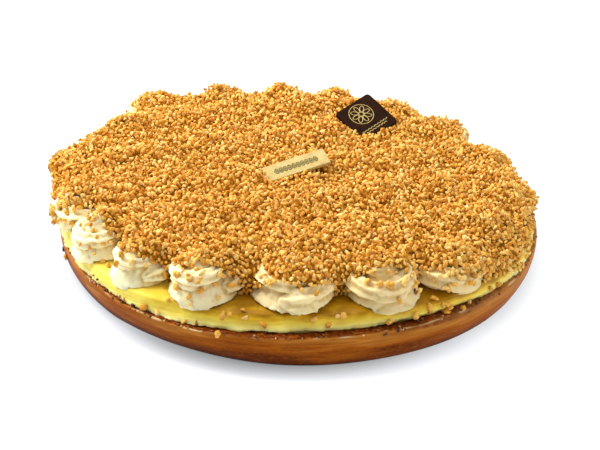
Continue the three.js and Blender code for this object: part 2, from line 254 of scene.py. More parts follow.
class Finish:
    """A material with one Principled shader, its patterns in object space.

    What is the same all over is set on the shader's own inputs: Base_Color means "Base Color".
    """

    def __init__(self, name, **fixed):
        self.material = bpy.data.materials.new(name)
        self.material.use_nodes = True
        self.tree = self.material.node_tree
        self.shader = self.tree.nodes["Principled BSDF"]
        for socket, value in fixed.items():
            self.shader.inputs[socket.replace("_", " ")].default_value = value
        self.place = add(self.tree, "ShaderNodeTexCoord").outputs["Object"]

    def noise(self, size, detail=3, stretch=(1, 1, 1)):
        """Noise with bumps of this size in metres, stretched along the axes."""
        where = add(self.tree, "ShaderNodeMapping", {"Vector": self.place, "Scale": stretch})
        return add(self.tree, "ShaderNodeTexNoise", {
            "Vector": where, "Scale": 1 / size, "Detail": detail,
        }).outputs[0]

    def axis(self, name):
        """How far a point lies along X, Y or Z."""
        return add(self.tree, "ShaderNodeSeparateXYZ", {0: self.place}).outputs[name]

    def value(self, name):
        """A number kept on the mesh."""
        return add(self.tree, "ShaderNodeAttribute", attribute_name=name).outputs["Fac"]

    def ramp(self, value, *stops):
        """A colour for each value: stops are (value, colour code) from low to high."""
        node = add(self.tree, "ShaderNodeValToRGB", {0: value})
        elements = node.color_ramp.elements
        while len(elements) < len(stops):
            elements.new(0.5)
        for element, (position, code) in zip(elements, stops):
            element.position = position
            element.color = paint(code)
        return node.outputs[0]

    def mix(self, share, first, second):
        """A mix of two colours by share."""
        node = add(self.tree, "ShaderNodeMix", {"Factor": share, "A": first, "B": second}, data_type="RGBA")
        return switched_on(node.outputs, "Result")

    def math(self, operation, first, second):
        """One operation on two numbers."""
        return add(self.tree, "ShaderNodeMath", {0: first, 1: second}, operation=operation).outputs[0]

    def two_tone(self, size, detail, low, high):
        """A base colour that wanders between two colours in patches of this size."""
        self.set("Base Color", self.ramp(self.noise(size, detail), (0.3, low), (0.7, high)))

    def spread(self, value, low, high, to_low, to_high):
        """A value moved from one range to another, and kept inside it."""
        return add(self.tree, "ShaderNodeMapRange", {
            "Value": value, "From Min": low, "From Max": high, "To Min": to_low, "To Max": to_high,
        }).outputs[0]

    def set(self, socket, value):
        """Links a pattern to one input of the shader."""
        self.tree.links.new(value, self.shader.inputs[socket])

    def bump(self, height, depth, strength=1.0):
        """Fine relief: height is a pattern from 0 to 1, depth its height in metres."""
        before = self.shader.inputs["Normal"].links
        inputs = {"Height": height, "Distance": depth, "Strength": strength}
        if before:
            inputs["Normal"] = before[0].from_socket
        self.set("Normal", add(self.tree, "ShaderNodeBump", inputs).outputs[0])


def finished(item, finish, slot, *nodes):
    """Gives a piece its material and its body, and hides the nodes that it stands for. The slot is not used.
    """
    item.data.materials.clear()
    item.data.materials.append(finish.material)
    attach(item, "root")
    if nodes:
        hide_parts(*nodes)
    faces = sum(len(face.vertices) - 2 for face in item.data.polygons)
    print(f"{item.name}: {faces} triangles")


# %% [markdown]
# ## Camera, floor and light
# The camera was fitted to the ellipse of the rim: it looks down by nearly thirty degrees from
# 85 cm, a little turned, so that the right side is lower. The light is that of a packshot:
# large soft lamps and a bright surround, on white paper. The paper glows, which burns it out to
# pure white as in a packshot, and it glows less near the tart, so that a soft shadow is left.

# %% Camera
IMAGE = (600, 450)
AXIS_PIXEL = (298.1, 236.3)
FOCAL_PIXELS = 1435
LOOK_DOWN = math.radians(29.6)
TURN = math.radians(1.64)
DISTANCE = 0.85

camera = bpy.data.objects.new("camera", bpy.data.cameras.new("camera"))
bpy.context.scene.collection.objects.link(camera)
camera.data.sensor_width = 36
camera.data.lens = camera.data.sensor_width * FOCAL_PIXELS / IMAGE[0]
camera.data.shift_x = (IMAGE[0] / 2 - AXIS_PIXEL[0]) / IMAGE[0]
camera.data.shift_y = (AXIS_PIXEL[1] - IMAGE[1] / 2) / IMAGE[0]
camera.data.clip_start = 0.05
camera.data.clip_end = 20
back = Vector((0, -math.cos(LOOK_DOWN), math.sin(LOOK_DOWN)))
camera.location = middle + DISTANCE * back
camera.rotation_mode = "QUATERNION"
camera.rotation_quaternion = (-back).to_track_quat("-Z", "Y") @ Euler((0, 0, TURN)).to_quaternion()
bpy.context.scene.camera = camera
print("lens, mm:", round(camera.data.lens, 1))

# %% Floor and lamps
FLOOR = 4
FLOOR_LEVEL = -0.05 * MM
floor_mesh = bpy.data.meshes.new("floor")
floor_corners = [(x * FLOOR, y * FLOOR, FLOOR_LEVEL) for x, y in ((-1, -1), (1, -1), (1, 1), (-1, 1))]
floor_mesh.from_pydata(floor_corners, [], [(0, 1, 2, 3)])
floor = link_mesh("floor", floor_mesh)
PAPER_NEAR, PAPER_CLEAR = 0.131, 0.152
PAPER_FRONT, PAPER_BESIDE = -0.139, -0.1
GLOW_FRONT, GLOW_BESIDE, GLOW_CLEAR = 0.1, 0.55, 0.95
paper = Finish(
    "white_paper", Base_Color=paint("#8f9195"), Roughness=0.9, Emission_Color=(0.93, 0.97, 1, 1),
)
away = add(paper.tree, "ShaderNodeVectorMath", {0: paper.place, 1: (1, 1, 0)}, operation="MULTIPLY")
away = add(paper.tree, "ShaderNodeVectorMath", {0: away}, operation="LENGTH").outputs["Value"]
beside = paper.spread(paper.axis("Y"), PAPER_FRONT, PAPER_BESIDE, GLOW_FRONT, GLOW_BESIDE)
paper.set("Emission Strength", paper.spread(away, PAPER_NEAR, PAPER_CLEAR, beside, GLOW_CLEAR))
paper.bump(paper.noise(0.002), 0.0001, 0.2)
floor.data.materials.append(paper.material)


def lamp(name, place, size, power, colour=(1, 1, 1)):
    """A round soft lamp that points at the middle of the tart."""
    item = bpy.data.objects.new(name, bpy.data.lights.new(name, "AREA"))
    bpy.context.scene.collection.objects.link(item)
    item.data.shape = "DISK"
    item.data.size = size
    item.data.energy = power
    item.data.color = colour
    item.location = place
    item.rotation_euler = (Vector(place) - middle).to_track_quat("Z", "Y").to_euler()


lamp("key", (-0.8, 0.4, 0.85), 0.7, 23, (1, 0.98, 0.95))
lamp("overhead", (0.1, 0.2, 1.2), 0.9, 5)
lamp("right", (1.0, -0.35, 0.16), 0.4, 2, (1, 0.96, 0.9))
world = bpy.data.worlds.new("surround")
bpy.context.scene.world = world
world.use_nodes = True
sky = world.node_tree.nodes["Background"].inputs
sky["Color"].default_value = (0.97, 0.98, 1, 1)
sky["Strength"].default_value = 0.5
bpy.context.scene.view_settings.view_transform = "Standard"

# %% [markdown]
# ## The pastry case
# Short pastry baked in a smooth tin has a plain, satiny wall, lighter at the top where it
# stood free and dark at the foot: partly its baked colour, partly painted shade where the wall
# curves under. Its lip is rough where the rolled edge was cut: crumbs and thin flakes stand on
# the ridge. A cylinder with a bevel would look like plastic, so the wall follows the measured
# outline at nine heights and gets shallow dents, streaks and pits. At the front right the top
# of the wall is painted as dark as the lip: painted shade.

# %% Pastry profile
WALL_HEIGHTS = [0.3, 1.2, 3, 5.5, 8.5, 11.5, 14.5, 17, 18.6]
PASTRY_WALL = 9 * MM
PASTRY_FLOOR = 5 * MM
FOOT_LEVELS = 6
FOOT_SWELL = 0.5 * MM
wall = [ring_at(outline(crust_tree, height * MM), height * MM) for height in WALL_HEIGHTS]
foot = outline(crust_tree, 0.3 * MM)
knots = np.array([
    ring_at(foot * 0.5, 0.0),
    ring_at(foot - 3 * MM, 0.0),
    *wall,
    ring_at(rim - 0.5 * MM, RIM_HEIGHT - 0.1 * MM),
    ring_at(rim - 1.6 * MM, RIM_HEIGHT),
    ring_at(rim - PASTRY_WALL, RIM_HEIGHT - 1.4 * MM),
    ring_at(foot - PASTRY_WALL, PASTRY_FLOOR),
    ring_at(foot * 0.4, PASTRY_FLOOR),
])
STEPS = [2, 3, 2, 4, 5, 6, 6, 6, 5, 4, 3, 3, 18, 6, 2]
case_rings = soften(fill_in(knots, STEPS), 2)
case_rings[1:FOOT_LEVELS, :, :2] += FOOT_SWELL * directions[None]

# %% Pastry relief
# Painted shade: a dark band along the top of the wall at the front right, kept on the mesh with the lip.
SHADE_BAND_AT, SHADE_BAND_SPREAD = -53, 15
SHADE_BAND_LEVELS = 9
FLAKE_LEVELS = 1.6
LIP_FADE = 3
levels = np.arange(len(case_rings))
wall_first, ridge, lip_last = sum(STEPS[:2]), sum(STEPS[:11]), sum(STEPS[:13])
on_lip = np.clip((levels - (ridge - 1)) / LIP_FADE, 0, 1) * (levels <= lip_last + 1)
on_wall = (levels > wall_first) * (levels < ridge)
shown = np.clip((levels - wall_first) / LIP_FADE, 0, 1) * (levels <= lip_last + 1)
dents = 0.3 * ripple(case_rings, 22 * MM, 1)
streaks = 0.09 * ripple(case_rings, 5 * MM, 2, (0.35, 0.35, 3))
pits = -0.8 * np.maximum(0, ripple(case_rings, 2.4 * MM, 3) - 0.42)
crumbs = 0.55 * ripple(case_rings, 3.2 * MM, 4) + 0.4 * ripple(case_rings, 1.4 * MM, 5)
push = (dents + streaks + pits * on_wall[:, None]) * shown[:, None] + crumbs * on_lip[:, None]
case_rings += outward(case_rings) * push[:, :, None] * MM
pastry_case = round_skin("pastry_case", case_rings)
# The painted shade band, as dark as the lip.
painted_shade_band = np.clip((levels - (ridge - SHADE_BAND_LEVELS)) / LIP_FADE, 0, 1) * (levels <= ridge)
shade_band_side = bell_at(SHADE_BAND_AT, SHADE_BAND_SPREAD)
lip_and_painted_shade = np.maximum(on_lip[:, None], painted_shade_band[:, None] * shade_band_side[None, :])
store(pastry_case, "lip", np.append(lip_and_painted_shade.ravel(), [0, 0]))
flakes = np.clip(3 * ripple(case_rings, 9 * MM, 11, (1, 1, 9)) - 0.2, 0, 1)
flaky = bell(levels, ridge, FLAKE_LEVELS)[:, None] * flakes
store(pastry_case, "flake", np.append(flaky.ravel(), [0, 0]))

# %% [markdown]
# ### Baked pastry
# The brown is not one brown. Height does most of it, partly baked colour and partly painted
# shade at the foot, and slow noise, drawn out along the wall, the rest. The lip is the darkest,
# with pale flakes on its ridge, and both wall and lip are paler at the right: painted light
# from that side. The numbers kept on the mesh as "lip" and "flake" tell the shader where these
# are; "lip" also holds the painted shade at the top of the wall at the front right.

# %% Pastry finish
CASE_HEIGHT = 19 * MM
baked = Finish("baked_pastry", Roughness=0.5, Specular_IOR_Level=0.04)
# Darker towards the foot: partly the baked colour, partly painted shade where the wall curves under.
height = baked.spread(baked.axis("Z"), 0, CASE_HEIGHT, 0, 1)
patches = baked.noise(0.03, 4, (0.6, 0.6, 4))
tone_with_painted_light = baked.math("ADD", height, baked.spread(patches, 0.3, 0.7, -0.3, 0.3))
# Painted light: the wall turns paler towards the right, as if lit from that side.
lit_from_right = baked.axis("X")
tone_with_painted_light = baked.math("ADD", tone_with_painted_light, baked.spread(lit_from_right, 0.05, 0.14, 0, 0.35))
brown = baked.ramp(tone_with_painted_light, (0.0, "#451700"), (0.35, "#6a2d02"), (0.7, "#a25408"), (1.0, "#c27c2e"))
grain_streaks = baked.spread(baked.noise(0.005, 5, (0.3, 0.3, 4)), 0.35, 0.65, 0, 0.42)
brown = baked.mix(grain_streaks, brown, paint("#5e2402"))
specks = baked.spread(baked.noise(0.0012, 3, (0.5, 0.5, 1.5)), 0.5, 0.7, 0, 0.3)
brown = baked.mix(specks, brown, paint("#b4671c"))
lip_brown = baked.ramp(baked.noise(0.0022, 4), (0.3, "#451a03"), (0.5, "#702f06"), (0.75, "#a05c1c"))
# Painted light on the lip at the right.
lip_brown = baked.mix(baked.spread(lit_from_right, 0.07, 0.115, 0, 0.75), lip_brown, paint("#b07a46"))
brown = baked.mix(baked.value("lip"), brown, lip_brown)
brown = baked.mix(baked.value("flake"), brown, paint("#dfbd8c"))
baked.set("Base Color", brown)
baked.bump(baked.noise(0.0009, 5), 0.00025, 0.8)
baked.bump(baked.noise(0.004, 3, (0.4, 0.4, 4)), 0.0001, 0.6)
finished(pastry_case, baked, "pastry", "crust")

# %% [markdown]
# ## The pastry cream
# The yellow cream was spread with a palette knife: broad waves with fine streaks that all run
# round the tart, and a thin torn edge over the lip. The slope is measured ring by ring, so it
# keeps the true form, and the streaks come from noise that is drawn out along the azimuth. The
# edge spills further over the lip at the left, draws back at the front right where the top of
# the wall is painted dark, and the cream is palest at its edge and in a smear at the right. Up
# the slope towards the rosettes the yellow darkens to deep gold: painted shade, strong at the
# right and faint at the left.

# %% Cream profile
SLOPE_HEIGHTS = [19.75, 20.6, 21.6, 23, 24.5, 26, 27, 27.5]
slope = [outline(filling_tree, height * MM, 30) for height in SLOPE_HEIGHTS]
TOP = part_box("pastry_cream")[1].z
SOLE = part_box("pastry_cream")[0].z
cream_knots = np.array([
    ring_at(foot * 0.5, SOLE),
    ring_at(foot - PASTRY_WALL - 0.6 * MM, SOLE),
    ring_at(rim - PASTRY_WALL - 0.6 * MM, 18.3 * MM),
    ring_at(slope[0] - 1.5 * MM, 18.9 * MM),
    *[ring_at(radii, height * MM) for radii, height in zip(slope, SLOPE_HEIGHTS)],
    ring_at(slope[-1] - 3 * MM, TOP),
    ring_at(slope[-1] - 14 * MM, TOP),
    ring_at(slope[-1] * 0.4, TOP),
])
CREAM_STEPS = [2, 4, 5, 3, 4, 5, 7, 7, 7, 5, 3, 5, 8, 4]
cream_rings = soften(fill_in(cream_knots, CREAM_STEPS), 2)

# %% Cream relief
RING_OUT = 0.138
SLOPE_RUN = 10 * MM
EDGE_LEVELS, PALE_LEVELS, SMEAR_LEVELS = 5.5, 9.5, 14.0
SMEAR_AT, SMEAR_SPREAD = -33, 9
SPILL_AT, SPILL_SPREAD, SPILL_OUT = -163, 13, 1.7
DRAWN_BACK = 2.6
EDGE_DROP = 0.35 * MM
cream_levels = np.arange(len(cream_rings))
edge_level = sum(CREAM_STEPS[:4])
brow_level = sum(CREAM_STEPS[:11])
climb = np.clip((cream_levels - edge_level) / (brow_level - edge_level), 0, 1)
spread_out = (cream_levels >= edge_level - 2) * (cream_levels <= brow_level + 8)


def streak(along, across, seed):
    """Noise on the slope: along is the length of a stroke, across its width on the slope."""
    flat = np.zeros((len(cream_levels), AROUND, 3))
    flat[:, :, :2] = directions[None] * RING_OUT / along
    flat[:, :, 2] = climb[:, None] * SLOPE_RUN / across
    return ripple(flat, 1, seed)


waves = 1.2 * streak(13 * MM, 7 * MM, 6) + 0.4 * streak(45 * MM, 2.6 * MM, 7)
waves += 0.3 * streak(9 * MM, 1.4 * MM, 8)
strokes = streak(30 * MM, 3 * MM, 16)
cream_rings += outward(cream_rings) * (waves * spread_out[:, None])[:, :, None] * MM
near_edge = bell(cream_levels, edge_level, EDGE_LEVELS)
edge_line = ring_at(RING_OUT, 0.0)
torn = 1.1 * ripple(edge_line, 8 * MM, 9) + 0.7 * ripple(edge_line, 2.6 * MM, 10)
torn += SPILL_OUT * bell_at(SPILL_AT, SPILL_SPREAD)
# The edge draws back at the front right, over the painted shade band.
torn += 0.6 * ripple(edge_line, 1.3 * MM, 12) - DRAWN_BACK * shade_band_side
cream_rings[:, :, :2] += (near_edge[:, None] * torn[None, :] * MM)[:, :, None] * directions[None]
cream_rings[:, :, 2] -= EDGE_DROP * near_edge[:, None]
filling = round_skin("spread_pastry_cream", cream_rings)
smear = bell(cream_levels, edge_level, SMEAR_LEVELS)[:, None] * bell_at(SMEAR_AT, SMEAR_SPREAD)[None, :]
paleness = np.maximum(bell(cream_levels, edge_level, PALE_LEVELS)[:, None], smear)
store(filling, "edge", np.append(paleness.ravel(), [0, 0]))
# The climb, with the knife strokes, sets how deep the painted shade is up the slope.
store(filling, "climb", np.append((climb[:, None] + 0.12 * strokes).ravel(), [1, 1]))

# %% Cream finish
custard = Finish(
    "pastry_cream", Roughness=0.4, Specular_IOR_Level=0.15, Subsurface_Weight=0.35,
    Subsurface_Scale=0.004, Subsurface_Radius=(1.0, 0.75, 0.25),
)
mottle = custard.spread(custard.noise(0.009, 4), 0.3, 0.7, -0.16, 0.16)
# Painted shade: up the slope towards the rosettes' feet the yellow darkens to deep gold, strongly at the
# right and faintly at the left.
left_to_right = custard.axis("X")
painted_shade_by_side = custard.spread(left_to_right, -0.085, -0.035, 0.25, 1)
painted_shade_by_side = custard.math("ADD", painted_shade_by_side, custard.spread(left_to_right, 0.03, 0.1, 0, 0.45))
depth = custard.math("MULTIPLY", custard.value("climb"), painted_shade_by_side)
yellow = custard.ramp(
    custard.math("ADD", depth, mottle),
    (0.0, "#fdea66"), (0.3, "#fae056"), (0.55, "#efce42"), (0.8, "#d6a81e"), (1.0, "#a87806"),
)
pale_edge = custard.spread(custard.noise(0.004, 3), 0.35, 0.65, 0.5, 1)
yellow = custard.mix(custard.math("MULTIPLY", custard.value("edge"), pale_edge), yellow, paint("#fff2a2"))
custard.set("Base Color", yellow)
custard.bump(custard.noise(0.0025, 4), 0.00015, 0.5)
finished(filling, custard, "pastry_cream", "pastry_cream")

# %% [markdown]
# ## The piped rosettes
# A rosette is a rope of whipped cream from a star nozzle, laid in a rising spiral. That is a
# rule, so Geometry Nodes make it: a helix whose reach shrinks as it climbs, swept with a
# star-shaped section. A cone fills its heart. A voxel remesh then melts the turns together,
# as soft cream does, and leaves the groove between them.

# %% Tree helpers


def new_tree(name, *inputs):
    """A Geometry Nodes tree with named inputs: each is (name, type, default)."""
    tree = bpy.data.node_groups.new(name, "GeometryNodeTree")
    tree.interface.new_socket("Geometry", in_out="INPUT", socket_type="NodeSocketGeometry")
    for label, kind, default in inputs:
        socket = tree.interface.new_socket(label, in_out="INPUT", socket_type="NodeSocket" + kind)
        if default is not None:
            socket.default_value = default
    tree.interface.new_socket("Geometry", in_out="OUTPUT", socket_type="NodeSocketGeometry")
    return tree, add(tree, "NodeGroupInput").outputs, add(tree, "NodeGroupOutput")


def calc(tree, operation, first, second=0.0, third=0.0):
    """One operation on up to three numbers in a tree."""
    return add(tree, "ShaderNodeMath", {0: first, 1: second, 2: third}, operation=operation).outputs[0]


def grown(tree, name, bed, extra=(), smooth=True, **sizes):
    """Runs a tree on a mesh with these sizes and returns what it makes as a plain object."""
    holder = bpy.data.objects.new(name + "_maker", bed)
    bpy.context.scene.collection.objects.link(holder)
    modifier = holder.modifiers.new(tree.name, "NODES")
    modifier.node_group = tree
    for item in tree.interface.items_tree:
        if item.in_out == "INPUT" and item.name.replace(" ", "_") in sizes:
            modifier[item.identifier] = sizes[item.name.replace(" ", "_")]
    for kind, settings in extra:
        later = holder.modifiers.new(kind, kind)
        for key, value in settings.items():
            setattr(later, key, value)
    depsgraph = bpy.context.evaluated_depsgraph_get()
    mesh = bpy.data.meshes.new_from_object(holder.evaluated_get(depsgraph), depsgraph=depsgraph)
    mesh.name = name
    bpy.data.objects.remove(holder)
    return link_mesh(name, mesh, smooth)


# %% The rope tree
whipped = Finish(
    "whipped_cream", Roughness=0.5, Specular_IOR_Level=0.15, Subsurface_Weight=0.4,
    Subsurface_Scale=0.003, Subsurface_Radius=(1.0, 0.8, 0.5),
)
cream_white = whipped.ramp(whipped.noise(0.01), (0.3, "#fdebb4"), (0.7, "#fff6ce"))
# Painted shade: the rosettes turn a darker, duller cream towards the right, away from the light.
painted_right_shade = whipped.spread(whipped.axis("X"), -0.08, 0.045, 0, 0.7)
cream_white = whipped.mix(painted_right_shade, cream_white, paint("#e0c384"))
# Painted shade in the grooves between the turns.
whipped.set("Base Color", whipped.mix(whipped.value("groove_shade"), cream_white, paint("#d3b670")))
whipped.bump(whipped.noise(0.0011, 4), 0.00012, 0.5)
whipped.bump(whipped.noise(0.005, 3), 0.0003, 0.4)

rope_tree, size_in, rope_out = new_tree(
    "piped_rope",
    ("Radius", "Float", 0.02), ("Height", "Float", 0.02), ("Rope", "Float", 0.0045),
    ("Turns", "Float", 2.1), ("Turned", "Float", 0.0), ("Ribs", "Int", 6), ("Rib Depth", "Float", 0.38),
    ("Wobble", "Float", 0.001), ("Seed", "Float", 0.0), ("Material", "Material", None),
)


def times(first, second):
    """A product in the rope tree."""
    return calc(rope_tree, "MULTIPLY", first, second)


THINNED = 0.42
TAPER, FIRST_WIDTH, LAST_WIDTH = 9.0, 0.35, 0.25
ROUNDNESS = 1.35
ROPES_BELOW, ROPES_IN_ALL = 0.6, 1.3
TWIST = 4.0
HEART_FOOT, HEART_TIP, HEART_HEIGHT = 0.8, 0.06, 0.86
helix = add(rope_tree, "GeometryNodeCurveSpiral", {
    "Resolution": 48, "Rotations": size_in["Turns"], "Start Radius": 1.0, "End Radius": 1.0,
    "Height": 0.0, "Reverse": True,
})
share = add(rope_tree, "GeometryNodeSplineParameter").outputs["Factor"]
thin = calc(rope_tree, "MULTIPLY_ADD", share, -THINNED, 1.0)
start_taper = calc(rope_tree, "MINIMUM", calc(rope_tree, "MULTIPLY_ADD", share, TAPER, FIRST_WIDTH), 1.0)
end_taper = calc(rope_tree, "MULTIPLY_ADD", share, -TAPER, TAPER + LAST_WIDTH)
end_taper = calc(rope_tree, "MINIMUM", end_taper, 1.0)
rope = times(times(size_in["Rope"], thin), times(start_taper, end_taper))
rounding = calc(rope_tree, "SUBTRACT", 1.0, calc(rope_tree, "POWER", share, ROUNDNESS))
reach = times(calc(rope_tree, "SUBTRACT", size_in["Radius"], size_in["Rope"]), rounding)
climbed = calc(rope_tree, "SUBTRACT", size_in["Height"], times(size_in["Rope"], ROPES_IN_ALL))
rise = calc(rope_tree, "MULTIPLY_ADD", share, climbed, times(size_in["Rope"], ROPES_BELOW))
on_circle = add(rope_tree, "GeometryNodeInputPosition")
on_circle = add(rope_tree, "ShaderNodeSeparateXYZ", {0: on_circle}).outputs
laid = add(rope_tree, "ShaderNodeCombineXYZ", {
    "X": times(on_circle["X"], reach), "Y": times(on_circle["Y"], reach), "Z": rise,
})
laid = add(rope_tree, "ShaderNodeVectorRotate", {
    "Vector": laid, "Axis": (0, 0, 1), "Angle": size_in["Turned"],
}, rotation_type="AXIS_ANGLE")
drift = add(rope_tree, "ShaderNodeTexNoise", {
    "Vector": laid, "W": size_in["Seed"], "Scale": 90.0, "Detail": 1.0,
}, noise_dimensions="4D").outputs["Color"]
drift = add(rope_tree, "ShaderNodeVectorMath", {0: drift, 1: (0.5, 0.5, 0.5)}, operation="SUBTRACT")
drift = add(rope_tree, "ShaderNodeVectorMath", {
    0: drift, "Scale": size_in["Wobble"],
}, operation="SCALE")
line = add(rope_tree, "GeometryNodeSetPosition", {
    "Geometry": helix, "Position": laid, "Offset": drift,
})
line = add(rope_tree, "GeometryNodeSetCurveTilt", {
    "Curve": line, "Tilt": times(share, TWIST),
})
star = add(rope_tree, "GeometryNodeCurveStar", {
    "Points": size_in["Ribs"], "Outer Radius": 1.0,
    "Inner Radius": calc(rope_tree, "SUBTRACT", 1.0, size_in["Rib Depth"]),
})
swept = add(rope_tree, "GeometryNodeCurveToMesh", {
    "Curve": line, "Profile Curve": star, "Scale": rope, "Fill Caps": True,
})
heart = add(rope_tree, "GeometryNodeMeshCone", {
    "Vertices": 24, "Radius Top": times(size_in["Radius"], HEART_TIP),
    "Radius Bottom": times(size_in["Radius"], HEART_FOOT), "Depth": times(size_in["Height"], HEART_HEIGHT),
})
both = add(rope_tree, "GeometryNodeJoinGeometry")
rope_tree.links.new(swept.outputs[0], both.inputs[0])
rope_tree.links.new(heart.outputs[0], both.inputs[0])
dressed = add(rope_tree, "GeometryNodeSetMaterial", {
    "Geometry": add(rope_tree, "GeometryNodeRealizeInstances", {0: both}),
    "Material": size_in["Material"],
})
rope_tree.links.new(dressed.outputs[0], rope_out.inputs[0])

# %% Pipe the ring
def read(mesh, kind):
    """All points of a mesh, "co", or their normals, "normal"."""
    values = np.empty(3 * len(mesh.vertices), np.float32)
    mesh.vertices.foreach_get(kind, values)
    return values.reshape(-1, 3).astype(float)


def write(mesh, points):
    """Puts the points of a mesh in new places."""
    mesh.vertices.foreach_set("co", points.astype(np.float32).ravel())
    mesh.update()


def fit_box(mesh, low, high):
    """Moves and stretches a mesh so that it fills a box."""
    points = read(mesh, "co")
    share = (points - points.min(axis=0)) / np.ptp(points, axis=0)
    write(mesh, np.array(low) + share * np.array(high - low))


VOXEL = 0.6 * MM
GROOVE_REACH = 14
GROOVE_DEEP = 0.35 * MM
GROOVE_CURVE = 0.8
SETTLED = 15 * MM
DEEPEST = 3.5 * MM
THINNEST = 0.01 * MM
MELT = [("REMESH", {"mode": "VOXEL", "voxel_size": VOXEL}), ("SMOOTH", {"factor": 0.5, "iterations": 1})]
SPREAD_OUT = Vector((0.8 * MM, 0.8 * MM, 0))


def ground(points):
    """The height of the pastry cream under each point, from the measured slope."""
    offset = points[:, :2] - np.array(middle.xy)
    out = np.linalg.norm(offset, axis=1)
    side = ((np.arctan2(offset[:, 1], offset[:, 0]) + math.pi) / math.tau * AROUND).astype(int) % AROUND
    height = np.full(len(points), SLOPE_HEIGHTS[0])
    for low, high, wide, narrow in zip(SLOPE_HEIGHTS, SLOPE_HEIGHTS[1:], slope, slope[1:]):
        gap = np.maximum(wide[side] - narrow[side], THINNEST)
        height += (high - low) * np.clip((wide[side] - out) / gap, 0, 1)
    return height * MM


def settle(mesh, base):
    """The foot of a rosette sinks where the pastry cream falls away under it."""
    points = read(mesh, "co")
    drop = np.clip(base - ground(points), 0, DEEPEST)
    points[:, 2] -= drop * np.clip(1 - (points[:, 2] - base) / SETTLED, 0, 1)
    write(mesh, points)


def roughen(mesh, seed):
    """Soft lumps and small peaks, as whipped cream has."""
    points = read(mesh, "co")
    lumps = 0.55 * ripple(points, 7 * MM, seed) + 0.26 * ripple(points, 2.2 * MM, seed + 30)
    write(mesh, points + read(mesh, "normal") * lumps[:, None] * MM)


def groove_depth(mesh, times):
    """How far each point lies below the mesh round it, once that is smoothed this many times."""
    edges = np.empty(2 * len(mesh.edges), np.int32)
    mesh.edges.foreach_get("vertices", edges)
    first, second = edges.reshape(-1, 2).T
    count = len(mesh.vertices)
    ends, others = np.concatenate([first, second]), np.concatenate([second, first])
    degree = np.maximum(np.bincount(ends, minlength=count), 1)
    points = read(mesh, "co")
    level = points.copy()
    for _ in range(times):
        sums = [np.bincount(ends, weights=level[others, axis], minlength=count) for axis in range(3)]
        level = 0.4 * level + 0.6 * np.stack(sums, axis=1) / degree[:, None]
    return ((level - points) * read(mesh, "normal")).sum(axis=1)


rosettes = []
dice = np.random.default_rng(12)
empty_bed = bpy.data.meshes.new("empty_bed")
ROSETTE_NODES = sorted(name for name in frame["nodes"] if name.startswith("cream_rosette"))
for name in ROSETTE_NODES:
    low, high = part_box(name)
    size = high - low
    radius = (size.x + size.y) / 4
    item = grown(
        rope_tree, name.replace("cream", "piped"), empty_bed, extra=MELT,
        Radius=float(radius), Height=float(size.z), Rope=float(radius * dice.uniform(0.3, 0.35)),
        Turns=float(dice.uniform(1.8, 2.2)), Turned=float(dice.uniform(-math.pi, math.pi)),
        Wobble=2.6 * MM, Seed=float(dice.uniform(0, 50)), Material=whipped.material,
    )
    fit_box(item.data, low - SPREAD_OUT, high + SPREAD_OUT)
    roughen(item.data, int(name[-2:]))
    settle(item.data, low.z)
    # How deep each point lies in a groove, kept for the painted shade in the grooves.
    depth = groove_depth(item.data, GROOVE_REACH)
    store(item, "groove_shade", np.clip(depth / GROOVE_DEEP, 0, 1) ** GROOVE_CURVE)
    finished(item, whipped, "whipped_cream", name)
    rosettes.append(item)

# %% [markdown]
# ## The nuts
# Thousands of caramelised nut pieces lie over a heap. Only the top layer shows, so a plain
# core fills the heap, in a darker brown that is painted shade for the gaps between the grains,
# and a bed, which is the heap's own surface without the faces that are hidden, carries the
# grains. Geometry Nodes scatter points on the bed so that no two come too close, and put one of
# a handful of grain shapes on each. Every kind of grain runs the same tree with the same seed
# and takes its own share of the points, so the kinds never sit inside each other. Loose grains
# lie thinly on top.

# %% Plaques' places
def lie_of(name):
    """Where a plaque lies: its middle with its long side along X, and its size."""
    mesh = frame["nodes"][name].data
    up = max((face for face in mesh.polygons if face.normal.z > 0.5), key=lambda face: face.area).normal
    sides = [face for face in mesh.polygons if abs(face.normal.dot(up)) < 0.1]
    sides = [face for face in sides if face.normal.x < 0 < face.normal.y]
    across = max(sides, key=lambda face: face.area).normal
    turn = Matrix((across.cross(up), across, up))
    own = [turn @ vertex.co for vertex in mesh.vertices]
    low = Vector([min(point[k] for point in own) for k in range(3)])
    high = Vector([max(point[k] for point in own) for k in range(3)])
    matrix = turn.transposed().to_4x4()
    matrix.translation = turn.transposed() @ ((low + high) / 2)
    return matrix, high - low


PLAQUES = ["white_chocolate_plaque", "dark_chocolate_plaque"]
lies = {name: lie_of(name) for name in PLAQUES}
for name, (matrix, size) in lies.items():
    print(name, "mm:", [round(1000 * x, 1) for x in size])


def under_plaque(point, margin):
    """Whether a point lies under a plaque, or in it, with this margin at its edges."""
    for matrix, size in lies.values():
        own = matrix.inverted() @ point
        beside = abs(own.x) > size.x / 2 + margin or abs(own.y) > size.y / 2 + margin
        if own.z < size.z / 2 and not beside:
            return True
    return False


# %% Core and bed
def merged(node):
    """A bmesh of a measured solid with its doubled points joined."""
    mesh = bmesh.new()
    mesh.from_mesh(frame["nodes"][node].data)
    bmesh.ops.remove_doubles(mesh, verts=mesh.verts, dist=0.01 * MM)
    return mesh


def bumpy(shape, name, cuts, height, width):
    """A finer mesh of a bmesh, pushed in and out by noise of this height and width in mm."""
    bmesh.ops.subdivide_edges(shape, edges=shape.edges, cuts=cuts, use_grid_fill=True)
    for vertex in shape.verts:
        vertex.co += vertex.normal * height * MM * noise.noise(vertex.co / (width * MM))
    mesh = bpy.data.meshes.new(name)
    shape.to_mesh(mesh)
    shape.free()
    return mesh


